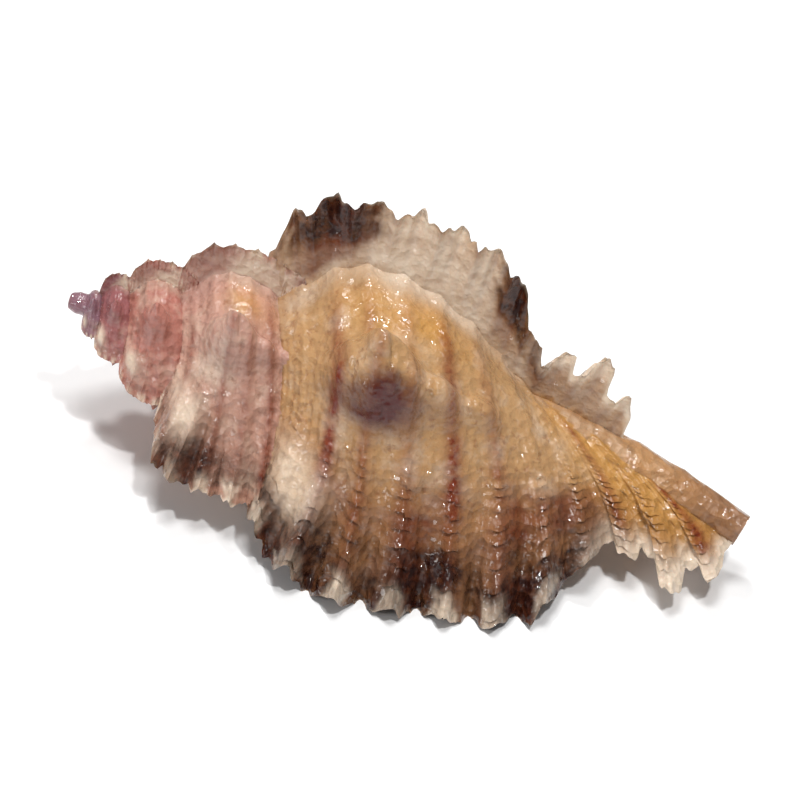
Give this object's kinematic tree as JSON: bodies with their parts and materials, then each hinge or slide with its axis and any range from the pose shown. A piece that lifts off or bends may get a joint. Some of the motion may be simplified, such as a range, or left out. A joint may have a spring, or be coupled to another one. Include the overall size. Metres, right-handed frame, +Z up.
{
  "type": "murex shell",
  "caption": "Spired sea snail shell lying mouth down, with flaring frilled varices, knobbed shoulders, a hollow oval mouth and a tapering siphonal canal.",
  "frame": {"origin": "middle of the shell's box at its underside, on the surface it lies on", "axes": "+X from the apex to the siphonal canal, +Z up, the outer lip towards -Y"},
  "size_m": [0.062, 0.0332, 0.0269],
  "materials": {
    "shell": "wet gloss over fine spiral cords"
  },
  "bodies": {
    "root": {"shell": "shell"}
  },
  "joints": []
}
